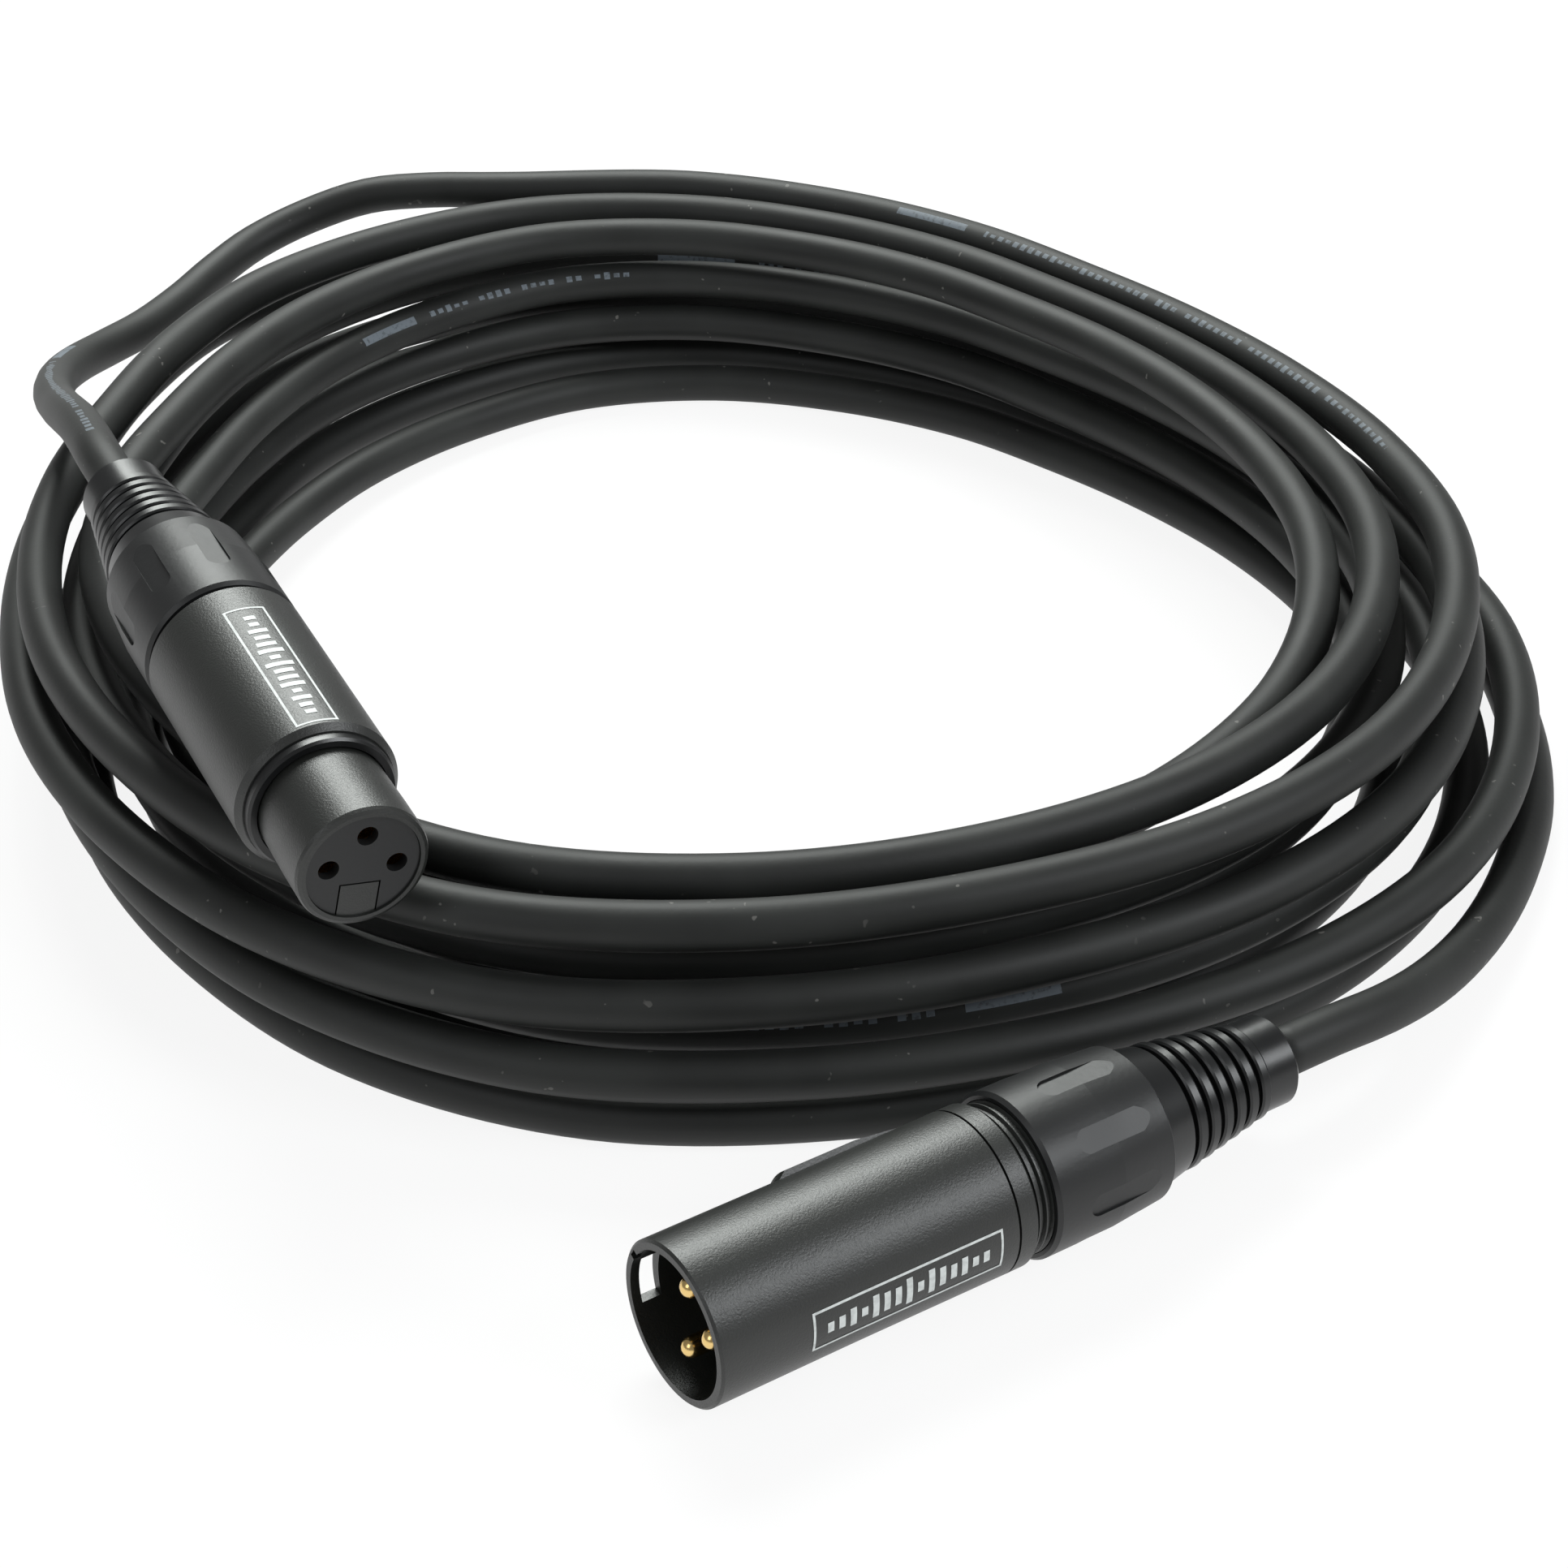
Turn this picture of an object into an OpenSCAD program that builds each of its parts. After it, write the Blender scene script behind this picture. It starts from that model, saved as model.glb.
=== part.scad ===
// Microphone cable with a three-pin plug and socket, wound in a hand coil.
// Millimetres. +Z is up and the plug points almost along -X. Each connector is
// drawn along +X from its mating face, with its key towards +Y.

/* [Cable] */
// Diameter of the cable's jacket
cable_d = 6.1; // [5.8:0.1:6.3]
// Turns in the coil
coil_turns = 10.2; // [7.2:1:12.2]
// Rise from one layer of turns to the next
layer_step = 7.9; // [7.7:0.1:8.6]
// How far each layer leans over the one below
layer_lean = 3.6; // [2.8:0.1:4]
// Sideways spacing of the turns, as a share of the pile's steps
turn_spacing = 1.01; // [0.98:0.01:1.1]

/* [Plug] */
// Outside diameter of the plug's shell
plug_shell_d = 19; // [18.8:0.1:19.3]
// Wall of the plug's sleeve
plug_wall = 1.15; // [1.1:0.05:1.45]
// Length of the plug's shell to its thread
plug_shell_len = 41; // [39:0.5:45]
// Depth from the rim to the contact carrier
plug_cavity_depth = 15.5; // [14.5:0.1:16.5]
// Distance from the rim back to the pin tips
pin_setback = 1.1; // [1:0.1:4]
// Bare thread left between the plug's shell and its bushing
plug_thread_gap = 2.5; // [1:0.1:3]

/* [Socket] */
// Outside diameter of the socket's nose
nose_d = 15.9; // [15.7:0.05:16]
// Length of the socket's nose with its ring
nose_len = 13.8; // [13:0.1:14.6]
// Outside diameter of the socket's shell
socket_shell_d = 19.9; // [19.8:0.1:20.3]
// Length of the socket from its face to its thread
socket_shell_len = 44.5; // [44:0.5:48]
// Travel of the latch lever, in degrees
latch_travel = 3; // [2:0.1:3.2]

/* [Contacts] */
// Diameter of each pin
pin_d = 2.4; // [2.3:0.05:2.45]
// Radius of the circle that the contacts stand on
contact_circle_r = 4.1; // [3.9:0.05:4.15]
// Bore of each socket contact
socket_bore_d = 2.5; // [2.45:0.05:2.6]
// Diameter of each insulated wire
wire_d = 1.5; // [1.2:0.1:1.8]

/* [Bushing and boot] */
// Diameter of the bushing at its front
bushing_d = 19.9; // [19.6:0.1:20.3]
// Length of the bushing
bushing_len = 17; // [16:0.5:19]
// Finger slots round the bushing
finger_slots = 8; // [6:1:10]
// Ribs on the boot
boot_ribs = 6; // [4:1:8]
// Distance from one rib to the next
rib_pitch = 2.2; // [1.8:0.1:2.4]
// Length that the bushing backs off when it is unscrewed
unscrew_travel = 1.5; // [1:0.1:1.5]

/* [Fit] */
// Clearance between a contact or carrier and its seat
seat_gap = 0.05; // [0.03:0.01:0.08]
// Clearance round the threads, the clamp and the latch
running_gap = 0.1; // [0.08:0.01:0.15]
// Gap between the socket and the coil that it lies on
lie_gap = 0.2; // [0.1:0.05:0.4]

/* [Hidden] */
$fn = 64;

cable_r = cable_d / 2;
pin_r = pin_d / 2;
wire_r = wire_d / 2;
eps = 0.01;

// The contacts' angles from the key
contact_angles = [90, 270, 180];
cup_r = pin_r + 0.3;
cup_bore_r = wire_r + 0.2;
cup_len = 5.5;

// The bushing screws on a threaded neck behind each shell
bushing_r = bushing_d / 2;
thread_crest_r = bushing_r - 0.95;
thread_root_r = thread_crest_r - 0.45;
thread_pitch = 1;
neck_len = 9;
thread_bore_len = 9.6;
clamp_seat_len = 3;
boot_seat_r = bushing_r - 1.75;
rear_bore_r = thread_root_r - 1.35;
clamp_r = rear_bore_r - 0.2;
clamp_slot_len = 10;
clamp_slot_w = 1;
bushing_rear_r = bushing_r - 0.55;
collar_len = 4;
collar_r = 8.5;
boot_front_r = 7.7;
boot_rear_r = 5.9;
boot_tip_r = 5.5;
boot_tip_len = 4.8;
rib_depth = 0.9;
boot_len = collar_len + boot_ribs * rib_pitch + boot_tip_len;
cable_end_setback = 4;

// The plug lies on the surface with its key level
plug_r = plug_shell_d / 2;
plug_heading = -1.7;
plug_at = [-36.26, -64.49, bushing_r];
plug_exit_x = plug_shell_len + plug_thread_gap + bushing_len + boot_len;

// The socket lies on the top turn of the coil near its latch button, which is
// underneath, with its face lowest
socket_r = socket_shell_d / 2;
socket_heading = 81.5;
socket_tilt = 6.2;
socket_roll = -80;
socket_thread_gap = 0.8;
socket_bears_at = 22;
button_rise = 0.7;
floor_cut = cable_d / 10;
pile_top = cable_d - floor_cut + 3 * layer_step;
socket_at = [-38.56, -7.79,
    pile_top + lie_gap + (socket_r + button_rise) / cos(socket_tilt)
    - socket_bears_at * sin(socket_tilt)];
socket_exit_x = socket_shell_len + socket_thread_gap + bushing_len + boot_len;

// The latch lever pivots behind its button
latch_pivot_x = 28.5;
latch_pivot_y = 4.3;
latch_pin_r = 0.6;
lever_half_w = 2.1;
lever_low_y = 3.2;
lever_high_y = 5.4;
hook_x = 7;
hook_len = 2.2;
hook_rise = 0.6;
button_x = 16.5;
button_len = 6;
channel_half_w = lever_half_w + 0.3;
channel_floor_y = 1.7;
key_half_w = 2.3;
key_low_y = 2.45;
key_gap = 0.2;
channel_x = 4.2;
carrier_front_r = 6.8;
carrier_rear_r = rear_bore_r - seat_gap;
carrier_step_x = 12;
carrier_end_x = 30;

// ---- Coil ------------------------------------------------------------------
// The pile is an uneven ring. Its outer radius and the step between turns are
// given every 30 degrees, starting from the direction that the layers lean in.
coil_at = [65.64, 62.11];
lean_heading = 100;
outer_radii = [111.5, 100, 102, 113.5, 125, 123, 121.5, 111, 96.5, 92, 102, 113.5];
turn_steps = [13.5, 10, 8.2, 10.3, 10.3, 9.2, 11, 10.6, 8.7, 8.3, 10, 12];
coil_start = 0;
layers = 4;
reverse_turns = 0.5;
rings_per_turn = 24;
coil_sides = 6;
tail_sides = 8;
layer_turns = (coil_turns + reverse_turns) / layers;
spiral_turns = layer_turns - reverse_turns;

// A smooth closed curve through the values v, one per unit of x
function around(v, x) =
    let (n = len(v), i = floor(x), f = x - i,
        a = v[(i + n - 1) % n], b = v[i % n], c = v[(i + 1) % n], d = v[(i + 2) % n])
    b + 0.5 * f * (c - a + f * (2 * a - 5 * b + 4 * c - d + f * (3 * (b - c) + d - a)));

// Point on the cable's centre line after t turns
function coil_point(t) =
    let (k = min(floor(t / layer_turns + 1e-6), layers - 1),
        u = t - k * layer_turns,
        sweep = min(u, spiral_turns),
        lane = turn_spacing * (k % 2 == 0 ? sweep : spiral_turns - sweep),
        climb = max(0, u - spiral_turns) / reverse_turns,
        layer = k + (1 - cos(180 * climb)) / 2,
        a = coil_start + 360 * t,
        q = (a - lean_heading + 360) / 360 * len(outer_radii),
        r = around(outer_radii, q) - lane * around(turn_steps, q),
        lean = layer * layer_lean)
    [coil_at[0] + r * cos(a) + lean * cos(lean_heading),
     coil_at[1] + r * sin(a) + lean * sin(lean_heading),
     cable_r - floor_cut + layer * layer_step];

function unit(v) = v / norm(v);
coil_steps = round(coil_turns * rings_per_turn);
coil_turn_points = [for (i = [0:coil_steps]) coil_point(coil_turns * i / coil_steps)];
coil_in = unit(coil_turn_points[1] - coil_turn_points[0]);
coil_out = unit(coil_turn_points[coil_steps] - coil_turn_points[coil_steps - 1]);
coil_head = coil_turn_points[0] - cable_d * coil_in;
coil_foot = coil_turn_points[coil_steps] + cable_d * coil_out;
coil_points = concat([coil_head], coil_turn_points, [coil_foot]);

// Free stretch from the plug's boot to the coil
plug_axis = [cos(plug_heading), sin(plug_heading), 0];
plug_exit = plug_at + plug_exit_x * plug_axis;
plug_route = concat(
    [plug_exit, plug_exit + 9 * plug_axis],
    [[65.1, -66.5, 8.4], [76.1, -63.7, 5.9], [87.1, -59.7, 4.1], [98.2, -54.5, 3],
     [109, -48.1, 2.6], [119.4, -40.5, 2.5], [128.8, -31.5, 2.5], [137.8, -20.5, 2.5],
     [145.8, -8.3, 2.5], [151.8, 4.7, 2.5], [156.2, 18.1, 2.45], [158.6, 31.9, 2.45]],
    [coil_head - 1.5 * cable_d * coil_in, coil_head]);

// Free stretch from the coil to the socket's boot
socket_axis = [cos(socket_heading) * cos(socket_tilt), sin(socket_heading) * cos(socket_tilt),
    sin(socket_tilt)];
socket_exit = socket_at + socket_exit_x * socket_axis;
socket_route = concat(
    [coil_foot, coil_foot + 1.5 * cable_d * coil_out],
    [[77.1, 195.1, 25.2], [67.2, 198.9, 22.6], [56.8, 199.1, 20.2], [47, 195.5, 18.4],
     [37.6, 189.9, 17.4], [28, 184.1, 17.2], [18.5, 177.9, 18.4], [9.8, 170.1, 20.8],
     [2.6, 160.5, 24], [-3.2, 149.5, 27.8], [-8.2, 137.9, 31.8], [-12.4, 125.9, 36],
     [-16.2, 114.1, 40.4], [-19.4, 103.1, 44], [-22.3, 93.1, 46.4]],
    [socket_exit + 9 * socket_axis, socket_exit]);

// Direction of a route at its point i
function route_dir(p, i) =
    i == 0 ? unit(p[1] - p[0]) :
    i == len(p) - 1 ? unit(p[i] - p[i - 1]) :
    unit(unit(p[i + 1] - p[i]) + unit(p[i] - p[i - 1]));

// Solid tube along a route, one ring of corners at each point
module swept_tube(route, sides, radius) {
    count = len(route);
    corners = [for (i = [0:count - 1])
        let (t = route_dir(route, i), n = unit(cross([0, 0, 1], t)), b = cross(t, n))
        for (j = [0:sides - 1])
            let (a = 360 * j / sides - 90)
            route[i] + radius * (cos(a) * n + sin(a) * b)];
    walls = [for (i = [0:count - 2]) for (j = [0:sides - 1])
        let (a = i * sides + j, b = i * sides + (j + 1) % sides, c = b + sides, d = a + sides)
        for (half = [0, 1])
            half == 0 ? [a, c, b] : [a, d, c]];
    last = (count - 1) * sides;
    caps = [for (j = [1:sides - 2]) for (half = [0, 1])
        half == 0 ? [0, j, j + 1] : [last, last + j + 1, last + j]];
    polyhedron(points = corners, faces = concat(walls, caps));
}

// Keeps only what is above the surface
cut_reach = 200;
cut_depth = 5;
module above_surface() {
    difference() {
        children();
        translate([coil_at[0] - cut_reach, coil_at[1] - cut_reach, -cut_depth])
            cube([2 * cut_reach, 2 * cut_reach, cut_depth]);
    }
}

// Least distance between stretches half a turn or more apart, less the cable
half_turn = rings_per_turn / 2;
self_gap = min([for (i = [0:coil_steps - half_turn]) for (j = [i + half_turn:coil_steps])
    norm(coil_turn_points[i] - coil_turn_points[j])]) - cable_d;
function route_length(p) = len(p) < 2 ? 0 :
    let (steps = [for (i = [1:len(p) - 1]) norm(p[i] - p[i - 1])]) steps * [for (s = steps) 1];
echo(coil_least_gap = self_gap);
echo(cable_length = route_length(coil_points) + route_length(plug_route) + route_length(socket_route));

module cable_coil() {
    color("#24262a") above_surface() swept_tube(coil_points, coil_sides, cable_r);
}

module plug_tail() {
    color("#24262a") above_surface() swept_tube(plug_route, tail_sides, cable_r);
}

module socket_tail() {
    color("#24262a") swept_tube(socket_route, tail_sides, cable_r);
}

// ---- Helpers along X -------------------------------------------------------
// Turned piece about X. Each point is [radius, x].
module turned(profile) {
    rotate([0, 90, 0]) rotate_extrude() polygon(profile);
}

// Round bar along X
module bar_x(r, x0, x1) {
    translate([x0, 0, 0]) rotate([0, 90, 0]) cylinder(h = x1 - x0, r = r);
}

// Round rod between two points, with a slightly fuller knee at each end
module rod(p, q, r) {
    d = q - p;
    translate(p) rotate([0, acos(d[2] / norm(d)), atan2(d[1], d[0])]) cylinder(h = norm(d), r = r);
    translate(p) sphere(r * 1.15);
    translate(q) sphere(r * 1.15);
}

module at_contact(i) {
    a = contact_angles[i];
    translate([0, contact_circle_r * cos(a), contact_circle_r * sin(a)]) children();
}

module place_plug() {
    translate(plug_at) rotate([0, 0, plug_heading]) children();
}

module place_socket() {
    translate(socket_at) rotate([socket_roll, -socket_tilt, socket_heading]) children();
}

// ---- Pieces that both connectors share -------------------------------------
// Outline of the threaded neck behind a shell that ends at x
function thread_profile(x) = concat([[thread_root_r, x]],
    [for (i = [0:floor((neck_len - 1) / thread_pitch) - 1])
        for (p = [[0, 0.25], [1, 0.45], [1, 0.65], [0, 0.85]])
            [thread_root_r + p[0] * (thread_crest_r - thread_root_r), x + (i + p[1]) * thread_pitch]],
    [[thread_root_r, x + neck_len]]);

// Wire from a contact's cup to the cable's end
module wire(i, cup_end, cable_start) {
    a = contact_angles[i];
    wide = [0, cos(a), sin(a)] * contact_circle_r;
    tight = [0, cos(a), sin(a)] * (cable_r / 2);
    bend_a = [cup_end + 0.5, 0, 0] + wide;
    bend_b = [cable_start - 1.5, 0, 0] + tight;
    translate(wide) bar_x(wire_r, cup_end - cup_len + 1.5, bend_a[0]);
    rod(bend_a, bend_b, wire_r);
    translate(tight) bar_x(wire_r, bend_b[0], cable_start);
}

// Clamp that grips the cable inside the neck, from x0 back to x1
module clamp(x0, x1) {
    difference() {
        turned([[cable_r + running_gap, x0], [clamp_r - 1, x0], [clamp_r, x0 + 1], [clamp_r, x1 - 3],
            [clamp_r - 1.2, x1], [cable_r + running_gap, x1]]);
        for (a = [0:120:240])
            rotate([a, 0, 0]) translate([x0 - 1, -clamp_slot_w / 2, 0])
                cube([clamp_slot_len, clamp_slot_w, clamp_r + 1]);
    }
}

// Bushing whose front edge is at x
module bushing(x) {
    seat_x = x + thread_bore_len;
    boot_x = seat_x + clamp_seat_len;
    end_x = x + bushing_len;
    slot_x = x + 6;
    slot_r = 1.5;
    slot_depth = 0.4;
    slot_side = slot_r - 0.02;
    difference() {
        turned([[thread_crest_r + running_gap, x], [bushing_r - 0.4, x], [bushing_r, x + 0.5],
            [bushing_r, x + bushing_len * 0.55], [bushing_rear_r, end_x - 0.3],
            [bushing_rear_r - 0.3, end_x], [boot_seat_r, end_x], [boot_seat_r, boot_x],
            [clamp_r + 0.6, boot_x], [clamp_r + 0.6, seat_x], [thread_crest_r + running_gap, seat_x]]);
        // Finger slots, round in front and running out where the bushing narrows
        for (i = [0:finger_slots - 1])
            rotate([360 * i / finger_slots, 0, 0]) translate([slot_x, 0, bushing_r - slot_depth]) {
                cylinder(h = 2, r = slot_r);
                translate([0, -slot_side, 0]) cube([bushing_len, slot_side * 2, 2]);
            }
    }
}

// Ribbed boot whose visible part starts at x
module boot(x) {
    flange_len = bushing_len - thread_bore_len - clamp_seat_len - running_gap;
    ribs_x = x + collar_len;
    tip_x = ribs_x + boot_ribs * rib_pitch;
    ribs = [for (i = [0:boot_ribs - 1])
        let (f = i / (boot_ribs - 1), r = boot_front_r + f * (boot_rear_r - boot_front_r),
            rx = ribs_x + i * rib_pitch, groove = rib_pitch * 0.38)
        for (p = [[-rib_depth, 0], [-rib_depth, groove], [-0.2, groove], [0, groove + 0.25],
            [0, rib_pitch - 0.25], [-0.2, rib_pitch]])
            [r + p[0], rx + p[1]]];
    turned(concat([[cable_r + running_gap, x - flange_len], [boot_seat_r - seat_gap, x - flange_len],
        [boot_seat_r - seat_gap, x + seat_gap], [collar_r - 0.3, x + seat_gap],
        [collar_r, x + seat_gap + 0.3], [boot_front_r + 0.1, ribs_x]],
        ribs,
        [[boot_tip_r, tip_x], [boot_tip_r, tip_x + boot_tip_len - 0.6],
         [boot_tip_r - 0.6, tip_x + boot_tip_len], [cable_r + running_gap, tip_x + boot_tip_len]]));
}

// ---- Plug ------------------------------------------------------------------
plug_neck_x = plug_shell_len;
plug_bushing_x = plug_neck_x + plug_thread_gap;
plug_cable_x = plug_neck_x - cable_end_setback;
plug_bore_r = plug_r - plug_wall;
body_r = plug_r + 0.16;
carrier_len = 6;
plug_carrier_end = plug_cavity_depth + carrier_len;
pin_shoulder_x = plug_carrier_end - 3.5;
pin_root_r = pin_r + 0.2;
pin_root_x = plug_cavity_depth - 0.3;
plug_cup_end = plug_carrier_end + cup_len;
window_x = 1.1;
window_len = 2.4;
window_w = 6;
body_x = 17.3;
pad_x = 17.6;
pad_len = 15.4;
pad_tail = 5;
pad_rise = 0.7;
pad_angle = 100;
groove_x = plug_shell_len - 2.8;
groove_depth = 0.35;

module plug_shell() {
    color("#1d1f22") place_plug() difference() {
        union() {
            turned(concat(
                [[plug_bore_r, 0], [plug_r - 0.3, 0], [plug_r, 0.3], [plug_r, body_x],
                 [body_r, groove_x], [body_r - groove_depth, groove_x],
                 [body_r - groove_depth, groove_x + 0.3], [body_r, groove_x + 0.3],
                 [body_r, plug_shell_len - 0.3], [body_r - 0.3, plug_shell_len]],
                thread_profile(plug_neck_x),
                [[rear_bore_r, plug_neck_x + neck_len], [rear_bore_r, plug_carrier_end],
                 [plug_bore_r, plug_carrier_end]]));
            // Raised pad on the key side
            rotate([-pad_angle / 2, 0, 0]) rotate([0, 90, 0]) rotate([0, 0, 90])
                rotate_extrude(angle = pad_angle)
                    polygon([[plug_r - 0.5, pad_x], [plug_r, pad_x], [plug_r + pad_rise, pad_x + 1],
                        [plug_r + pad_rise, pad_x + pad_len - pad_tail],
                        [body_r, pad_x + pad_len], [plug_r - 0.5, pad_x + pad_len]]);
        }
        // Window that the mating latch hooks into
        translate([window_x, 0, -window_w / 2]) cube([window_len, plug_r + 2, window_w]);
        // Notch in the rim
        rotate([30, 0, 0]) translate([-1, plug_bore_r - 1, -0.6]) cube([1.9, 1.6, 1.2]);
    }
}

module plug_carrier() {
    color("#101114") place_plug() difference() {
        bar_x(plug_bore_r - seat_gap, plug_cavity_depth, plug_carrier_end);
        for (i = [0:2]) at_contact(i) {
            bar_x(pin_root_r + seat_gap, plug_cavity_depth - 1, plug_carrier_end + 1);
            bar_x(cup_r + seat_gap, pin_shoulder_x, plug_carrier_end + 1);
        }
    }
}

module plug_pin(i) {
    color("gold") place_plug() at_contact(i) difference() {
        union() {
            translate([pin_setback + pin_r, 0, 0]) sphere(pin_r);
            bar_x(pin_r, pin_setback + pin_r, pin_root_x + eps);
            bar_x(pin_root_r, pin_root_x, pin_shoulder_x + eps);
            bar_x(cup_r, pin_shoulder_x, plug_cup_end);
        }
        bar_x(cup_bore_r, plug_cup_end - cup_len + 1, plug_cup_end + 1);
    }
}

module plug_pin_1() { plug_pin(0); }
module plug_pin_2() { plug_pin(1); }
module plug_pin_3() { plug_pin(2); }

module plug_wire_1() { color("white") place_plug() wire(0, plug_cup_end, plug_cable_x); }
module plug_wire_2() { color("red") place_plug() wire(1, plug_cup_end, plug_cable_x); }
module plug_wire_3() { color("black") place_plug() wire(2, plug_cup_end, plug_cable_x); }

module plug_cable_end() { color("#24262a") place_plug() bar_x(cable_r, plug_cable_x, plug_exit_x); }

module plug_clamp() {
    color("dimgray") place_plug()
        clamp(plug_neck_x - 2, plug_bushing_x + thread_bore_len + clamp_seat_len - 0.2);
}

module plug_bushing() { color("#17181a") place_plug() bushing(plug_bushing_x); }
module plug_boot() { color("#0e0f10") place_plug() boot(plug_bushing_x + bushing_len); }

// ---- Socket ----------------------------------------------------------------
socket_neck_x = socket_shell_len;
socket_bushing_x = socket_neck_x + socket_thread_gap;
socket_cable_x = socket_neck_x - cable_end_setback;
nose_r = nose_d / 2;
nose_land_x = 5.4;
nose_taper = 0.16;
ring_x = nose_len - 1.4;
ring_r = nose_r + 1.1;
face_setback = 0.3;
contact_x = 1.6;
contact_r = socket_bore_d / 2 + 0.45;
contact_bore_end = 14;
socket_cup_end = carrier_end_x + 3;

module socket_shell() {
    color("#1d1f22") place_socket() {
        difference() {
            turned(concat(
                [[carrier_front_r + seat_gap, 0], [nose_r - 0.6, 0], [nose_r - 0.18, 0.18],
                 [nose_r, 0.6], [nose_r, nose_land_x], [nose_r - nose_taper, nose_len],
                 [socket_r - 0.7, nose_len],
                 [socket_r, nose_len + 0.8], [socket_r, socket_shell_len - 0.3],
                 [socket_r - 0.3, socket_shell_len]],
                thread_profile(socket_neck_x),
                [[rear_bore_r, socket_neck_x + neck_len], [rear_bore_r, carrier_step_x],
                 [carrier_front_r + seat_gap, carrier_step_x]]));
            // Hole for the hook, then the slot for the button
            translate([hook_x - 0.6, 0, -channel_half_w])
                cube([hook_len + 1.2, socket_r + 1, channel_half_w * 2]);
            translate([button_x - 0.6, 0, -channel_half_w])
                cube([button_len + 1, socket_r + 1, channel_half_w * 2]);
        }
        // Key in the mouth of the nose
        translate([face_setback, key_low_y, -key_half_w])
            cube([3.7, carrier_front_r - key_low_y + 0.3, key_half_w * 2]);
    }
}

module socket_ring() {
    color("#0e0f10") place_socket()
        turned([[nose_r + seat_gap, ring_x], [ring_r - 0.3, ring_x], [ring_r, ring_x + 0.3],
            [ring_r, nose_len], [nose_r + seat_gap, nose_len]]);
}

module socket_carrier() {
    color("#101114") place_socket() difference() {
        union() {
            bar_x(carrier_front_r, face_setback, carrier_step_x + eps);
            bar_x(carrier_rear_r, carrier_step_x, carrier_end_x);
        }
        for (i = [0:2]) at_contact(i) {
            bar_x(socket_bore_d / 2, -1, contact_x + eps);
            bar_x(contact_r + seat_gap, contact_x, carrier_end_x + 1);
        }
        // Slot for the key, then the deeper channel for the latch lever
        translate([-1, key_low_y - key_gap, -key_half_w - key_gap])
            cube([channel_x + 1.2, carrier_rear_r, (key_half_w + key_gap) * 2]);
        translate([channel_x, channel_floor_y, -channel_half_w])
            cube([carrier_end_x, carrier_rear_r, channel_half_w * 2]);
        // Bore for the pivot pin
        translate([latch_pivot_x, latch_pivot_y, -3.2]) cylinder(h = 6.4, r = latch_pin_r + 0.03);
    }
}

module socket_contact(i) {
    color("gold") place_socket() at_contact(i) difference() {
        bar_x(contact_r, contact_x, socket_cup_end);
        bar_x(socket_bore_d / 2, contact_x - 1, contact_bore_end);
        bar_x(cup_bore_r, socket_cup_end - cup_len + 1, socket_cup_end + 1);
    }
}

module socket_contact_1() { socket_contact(0); }
module socket_contact_2() { socket_contact(1); }
module socket_contact_3() { socket_contact(2); }

module socket_latch() {
    color("#101114") place_socket() difference() {
        translate([0, 0, -lever_half_w]) linear_extrude(lever_half_w * 2)
            polygon([[5.6, lever_low_y], [latch_pivot_x + 1.2, lever_low_y],
                [latch_pivot_x + 1.2, lever_high_y], [button_x + button_len, lever_high_y],
                [button_x + button_len, socket_r + button_rise - 0.5],
                [button_x + button_len - 0.5, socket_r + button_rise],
                [button_x + 1.5, socket_r + button_rise], [button_x, socket_r + button_rise - 1],
                [button_x, lever_high_y], [hook_x + hook_len, lever_high_y],
                [hook_x + hook_len, nose_r + hook_rise], [hook_x + 1, nose_r + hook_rise],
                [hook_x, nose_r - 0.6], [hook_x, lever_high_y], [5.6, lever_high_y]]);
        translate([latch_pivot_x, latch_pivot_y, -5]) cylinder(h = 10, r = latch_pin_r + 0.06);
    }
}

module latch_pivot() {
    color("silver") place_socket()
        translate([latch_pivot_x, latch_pivot_y, -3.1]) cylinder(h = 6.2, r = latch_pin_r);
}

spring_x = 12;
spring_bend_x = 22;
spring_tip_x = 25.6;
spring_t = 0.2;

module latch_spring() {
    color("goldenrod") place_socket() translate([0, 0, -1.5]) linear_extrude(3)
        polygon([[spring_x, channel_floor_y + 0.02], [spring_bend_x, channel_floor_y + 0.02],
            [spring_tip_x, lever_low_y - 0.5], [spring_tip_x, lever_low_y - 0.5 + spring_t],
            [spring_bend_x - 0.1, channel_floor_y + 0.02 + spring_t],
            [spring_x, channel_floor_y + 0.02 + spring_t]]);
}

module socket_wire_1() { color("white") place_socket() wire(0, socket_cup_end, socket_cable_x); }
module socket_wire_2() { color("red") place_socket() wire(1, socket_cup_end, socket_cable_x); }
module socket_wire_3() { color("black") place_socket() wire(2, socket_cup_end, socket_cable_x); }

module socket_cable_end() { color("#24262a") place_socket() bar_x(cable_r, socket_cable_x, socket_exit_x); }

module socket_clamp() {
    color("dimgray") place_socket()
        clamp(socket_neck_x - 2, socket_bushing_x + thread_bore_len + clamp_seat_len - 0.2);
}

module socket_bushing() { color("#17181a") place_socket() bushing(socket_bushing_x); }
module socket_boot() { color("#0e0f10") place_socket() boot(socket_bushing_x + bushing_len); }

cable_coil();
plug_tail();
socket_tail();
plug_shell();
plug_carrier();
plug_pin_1();
plug_pin_2();
plug_pin_3();
plug_wire_1();
plug_wire_2();
plug_wire_3();
plug_cable_end();
plug_clamp();
plug_bushing();
plug_boot();
socket_shell();
socket_ring();
socket_carrier();
socket_contact_1();
socket_contact_2();
socket_contact_3();
socket_latch();
latch_pivot();
latch_spring();
socket_wire_1();
socket_wire_2();
socket_wire_3();
socket_cable_end();
socket_clamp();
socket_bushing();
socket_boot();
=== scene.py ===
"""Microphone cable in a hand coil, with its plug and socket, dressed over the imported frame."""

import math

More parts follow.
